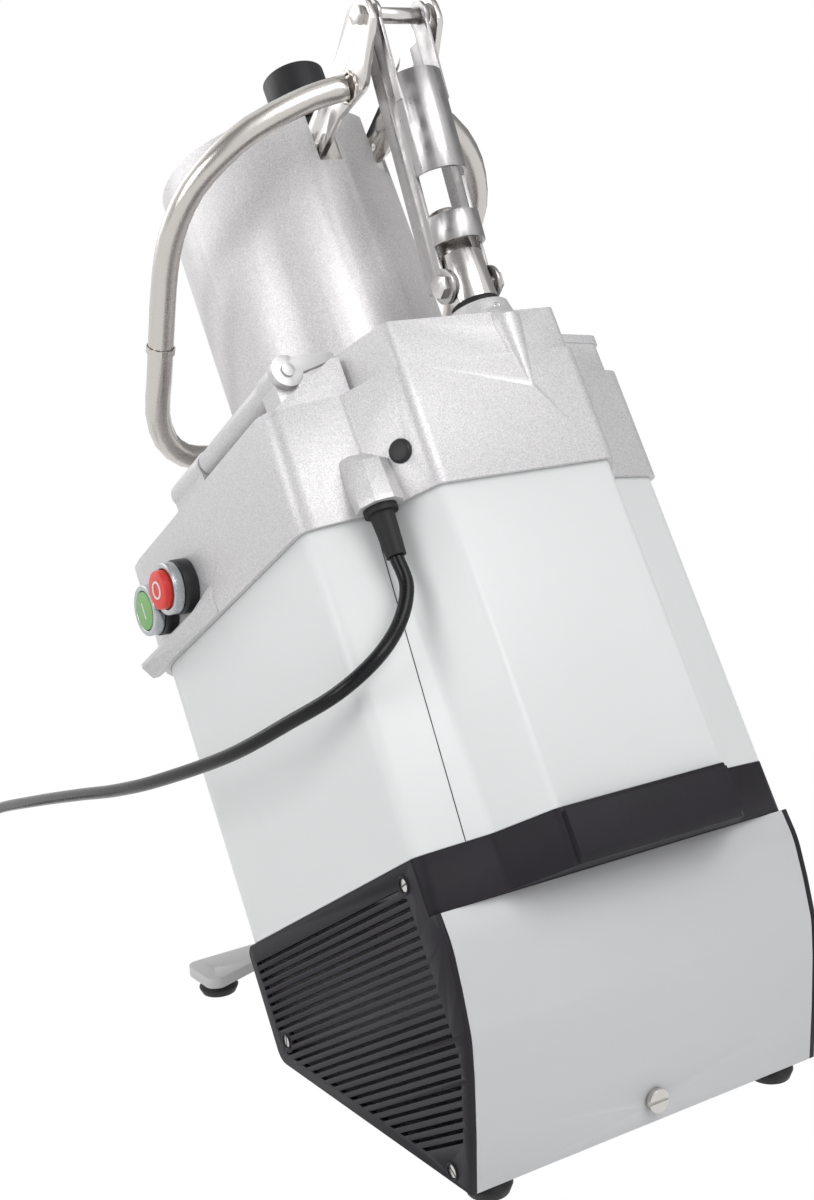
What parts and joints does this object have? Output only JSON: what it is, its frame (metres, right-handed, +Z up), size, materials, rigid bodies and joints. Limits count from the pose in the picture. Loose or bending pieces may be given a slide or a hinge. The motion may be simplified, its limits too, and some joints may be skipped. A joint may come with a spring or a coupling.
{
  "type": "continuous feed food processor",
  "caption": "Leaning food processor with a wide feed cylinder, loop-handled lever pusher, slicing disc chamber, front outlet and start and stop buttons.",
  "frame": {"origin": "floor plane under the middle of the base, at the feet's undersides", "axes": "+Z up, the user stands at -Y, X = 0 is the middle plane of the base"},
  "size_m": [0.5405, 0.8834, 0.7968],
  "materials": {
    "plate_steel": "satin",
    "black_rubber": "matte",
    "screw_steel": "satin",
    "cast_paint": "satin paint",
    "panel_paint": "satin paint",
    "charcoal_plastic": "fine texture",
    "body_paint": "satin paint",
    "motor_paint": "painted",
    "inner_plastic": "matte",
    "polished_steel": "polished",
    "silver_casting": "sparkling silver paint",
    "black_plastic": "semi matte",
    "white_plastic": "matte",
    "satin_steel": "satin",
    "green_button": "semi gloss",
    "red_button": "semi gloss",
    "bezel_silver": "satin",
    "cord_black": "satin"
  },
  "bodies": {
    "machine": {"base_bottom_plate": "plate_steel", "rubber_feet": "black_rubber", "foot_screws": "screw_steel", "front_foot_bar": "cast_paint", "back_panel": "panel_paint", "back_panel_screw": "screw_steel", "right_grille": "charcoal_plastic", "left_grille": "charcoal_plastic", "grille_screws": "screw_steel", "front_panel": "panel_paint", "base_band": "charcoal_plastic", "body_shell": "body_paint", "motor_plate": "plate_steel", "plate_posts": "screw_steel", "motor_stator": "motor_paint", "drive_belt": "black_rubber", "bearing_housing": "motor_paint", "shaft_bearings": "screw_steel", "shaft_seal": "black_rubber", "control_box": "inner_plastic", "top_casting": "silver_casting", "round_plug_cap": "black_plastic", "outlet_chute": "silver_casting", "feed_flange": "silver_casting", "feed_cylinder": "silver_casting", "hinge_pins": "polished_steel", "head_latch": "silver_casting", "link_bolts": "polished_steel", "column_shaft": "satin_steel", "column_collar": "polished_steel", "collar_seal": "black_rubber", "button_bezels": "bezel_silver", "button_bodies": "black_plastic", "strain_relief": "black_rubber", "power_cord": "cord_black", "cord_coil": "cord_black", "power_plug": "cord_black", "cord_tie": "inner_plastic"},
    "drive": {"drive_shaft": "polished_steel", "drive_pulley": "screw_steel", "ejector_plate": "white_plastic", "slicing_disc": "silver_casting", "disc_blades": "polished_steel", "disc_knob": "inner_plastic"},
    "motor": {"motor_rotor": "screw_steel", "motor_fan": "inner_plastic", "motor_pulley": "screw_steel"},
    "pusher": {"pusher_plate": "white_plastic", "feed_tube": "satin_steel", "pusher_stem": "satin_steel", "pusher_pin": "polished_steel"},
    "pestle": {"pestle": "black_plastic"},
    "lever": {"lever_plates": "polished_steel", "lever_bolts": "polished_steel", "loop_handle": "satin_steel", "handle_sleeves": "satin_steel"},
    "link": {"link": "polished_steel", "top_spacer": "polished_steel"},
    "start_button": {"start_button": "green_button"},
    "stop_button": {"stop_button": "red_button"}
  },
  "joints": [
    {"name": "drive_spin", "type": "hinge", "parent": "machine", "child": "drive", "pos_m": [0, -0.15859, 0.41383], "axis": [0, -0.4741, 0.8805], "continuous": true},
    {"name": "motor_spin", "type": "hinge", "parent": "machine", "child": "motor", "pos_m": [0, -0.13353, 0.17746], "axis": [0, -0.4741, 0.8805], "continuous": true},
    {"name": "pusher_lift", "type": "slide", "parent": "machine", "child": "pusher", "axis": [0, -0.4741, 0.8805], "range_m": [0, 0.145]},
    {"name": "pestle_slide", "type": "slide", "parent": "pusher", "child": "pestle", "axis": [0, -0.4741, 0.8805], "range_m": [0, 0.2]},
    {"name": "lever_tilt", "type": "hinge", "parent": "pusher", "child": "lever", "pos_m": [0, -0.22977, 0.69578], "axis": [-1, 0, 0], "range_deg": [0, 80]},
    {"name": "link_rock", "type": "hinge", "parent": "machine", "child": "link", "pos_m": [0, -0.06932, 0.58342], "axis": [1, 0, 0], "range_deg": [-2, 20]},
    {"name": "start_press", "type": "slide", "parent": "machine", "child": "start_button", "axis": [-1, 0, 0], "range_m": [0, 0.003], "stiffness_N_per_m": 400},
    {"name": "stop_press", "type": "slide", "parent": "machine", "child": "stop_button", "axis": [-1, 0, 0], "range_m": [0, 0.003], "stiffness_N_per_m": 400}
  ],
  "couplings": [
    {"joint": "motor_spin", "follows": "drive_spin", "ratio": 2.8889},
    {"joint": "lever_tilt", "follows": "pusher_lift", "rad_per_m": 9.303},
    {"joint": "link_rock", "follows": "pusher_lift", "rad_per_m": 1.9367}
  ]
}
